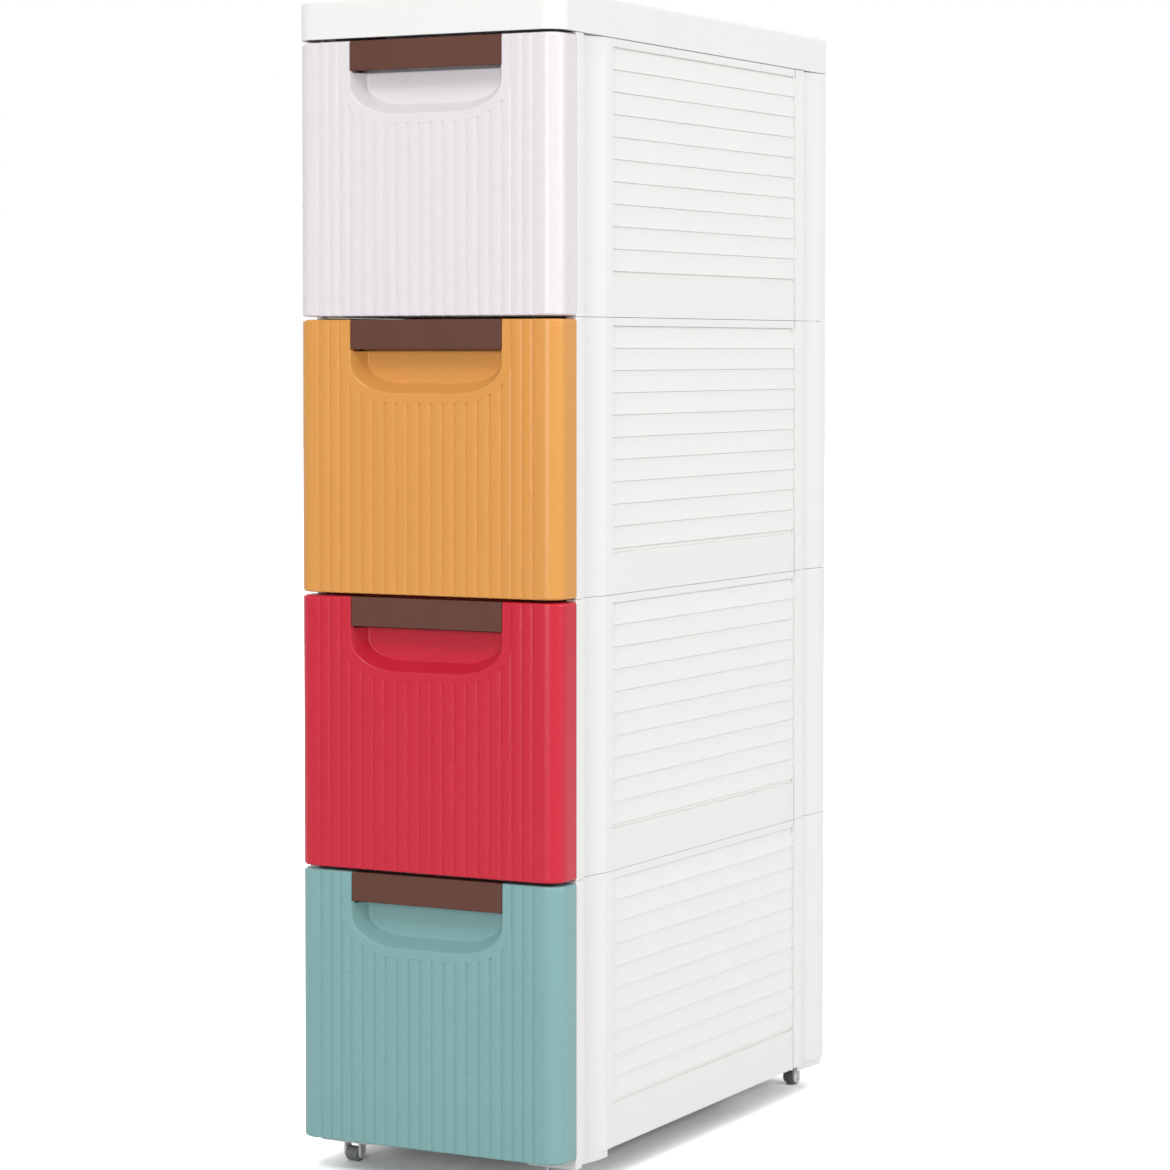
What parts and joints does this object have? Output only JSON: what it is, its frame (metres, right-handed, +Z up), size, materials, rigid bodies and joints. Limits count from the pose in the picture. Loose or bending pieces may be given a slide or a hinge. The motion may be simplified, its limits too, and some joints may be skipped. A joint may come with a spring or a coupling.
{
  "type": "plastic drawer tower",
  "caption": "Tall slim plastic drawer tower with coloured ribbed pull-out drawers, slatted white side panels, a cap-like cover and small swivel casters.",
  "frame": {"origin": "on the floor, under the middle of the tower's outline", "axes": "+Z up, -Y the front where the drawers open, +X to the right seen from the front"},
  "size_m": [0.2016, 0.4266, 0.7876],
  "materials": {
    "cover_white": "white injection-moulded polypropylene, satin",
    "panel_white": "white injection-moulded polypropylene, fine matt grain",
    "drawer_lilac_white": "pale lilac-white injection-moulded polypropylene, satin gloss",
    "drawer_orange": "orange injection-moulded polypropylene, satin gloss",
    "drawer_red": "red injection-moulded polypropylene, satin gloss",
    "drawer_teal": "grey-green injection-moulded polypropylene, satin gloss",
    "bar_brown": "brown moulded plastic, matt",
    "caster_grey": "light grey moulded nylon",
    "wheel_grey": "dark grey moulded plastic",
    "steel": "zinc-plated steel"
  },
  "bodies": {
    "cabinet": {"top_cover": "cover_white", "left_panel_1": "panel_white", "left_panel_2": "panel_white", "left_panel_3": "panel_white", "left_panel_4": "panel_white", "right_panel_1": "panel_white", "right_panel_2": "panel_white", "right_panel_3": "panel_white", "right_panel_4": "panel_white", "back_panel_1": "panel_white", "back_panel_2": "panel_white", "back_panel_3": "panel_white", "back_panel_4": "panel_white", "tier_frame_1": "panel_white", "tier_frame_2": "panel_white", "tier_frame_3": "panel_white", "base_frame": "panel_white", "stacking_pins": "panel_white"},
    "drawer_1": {"drawer_front_1": "drawer_lilac_white", "drawer_box_1": "drawer_lilac_white", "pull_bar_1": "bar_brown", "drawer_screws_1": "steel"},
    "drawer_2": {"drawer_front_2": "drawer_orange", "drawer_box_2": "drawer_orange", "pull_bar_2": "bar_brown", "drawer_screws_2": "steel"},
    "drawer_3": {"drawer_front_3": "drawer_red", "drawer_box_3": "drawer_red", "pull_bar_3": "bar_brown", "drawer_screws_3": "steel"},
    "drawer_4": {"drawer_front_4": "drawer_teal", "drawer_box_4": "drawer_teal", "pull_bar_4": "bar_brown", "drawer_screws_4": "steel"},
    "caster_fl": {"caster_fork_fl": "caster_grey", "caster_axle_fl": "steel"},
    "wheel_fl": {"caster_wheel_fl": "wheel_grey"},
    "caster_fr": {"caster_fork_fr": "caster_grey", "caster_axle_fr": "steel"},
    "wheel_fr": {"caster_wheel_fr": "wheel_grey"},
    "caster_rl": {"caster_fork_rl": "caster_grey", "caster_axle_rl": "steel"},
    "wheel_rl": {"caster_wheel_rl": "wheel_grey"},
    "caster_rr": {"caster_fork_rr": "caster_grey", "caster_axle_rr": "steel"},
    "wheel_rr": {"caster_wheel_rr": "wheel_grey"}
  },
  "joints": [
    {"name": "drawer_1_slide", "type": "slide", "parent": "cabinet", "child": "drawer_1", "axis": [0, -1, 0], "range_m": [0, 0.3]},
    {"name": "drawer_2_slide", "type": "slide", "parent": "cabinet", "child": "drawer_2", "axis": [0, -1, 0], "range_m": [0, 0.3]},
    {"name": "drawer_3_slide", "type": "slide", "parent": "cabinet", "child": "drawer_3", "axis": [0, -1, 0], "range_m": [0, 0.3]},
    {"name": "drawer_4_slide", "type": "slide", "parent": "cabinet", "child": "drawer_4", "axis": [0, -1, 0], "range_m": [0, 0.3]},
    {"name": "caster_fl_swivel", "type": "hinge", "parent": "cabinet", "child": "caster_fl", "pos_m": [-0.078, -0.1695, 0.0204], "axis": [0, 0, 1], "continuous": true},
    {"name": "wheel_fl_roll", "type": "hinge", "parent": "caster_fl", "child": "wheel_fl", "pos_m": [-0.0787, -0.17445, 0.005], "axis": [0.9903, -0.1392, 0], "continuous": true},
    {"name": "caster_fr_swivel", "type": "hinge", "parent": "cabinet", "child": "caster_fr", "pos_m": [0.078, -0.1695, 0.0204], "axis": [0, 0, 1], "continuous": true},
    {"name": "wheel_fr_roll", "type": "hinge", "parent": "caster_fr", "child": "wheel_fr", "pos_m": [0.07921, -0.17435, 0.005], "axis": [0.9703, 0.2419, 0], "continuous": true},
    {"name": "caster_rl_swivel", "type": "hinge", "parent": "cabinet", "child": "caster_rl", "pos_m": [-0.078, 0.1915, 0.0204], "axis": [0, 0, 1], "continuous": true},
    {"name": "wheel_rl_roll", "type": "hinge", "parent": "caster_rl", "child": "wheel_rl", "pos_m": [-0.07597, 0.18693, 0.005], "axis": [0.9135, 0.4067, 0], "continuous": true},
    {"name": "caster_rr_swivel", "type": "hinge", "parent": "cabinet", "child": "caster_rr", "pos_m": [0.078, 0.1915, 0.0204], "axis": [0, 0, 1], "continuous": true},
    {"name": "wheel_rr_roll", "type": "hinge", "parent": "caster_rr", "child": "wheel_rr", "pos_m": [0.08065, 0.19574, 0.005], "axis": [-0.848, 0.5299, 0], "continuous": true}
  ]
}
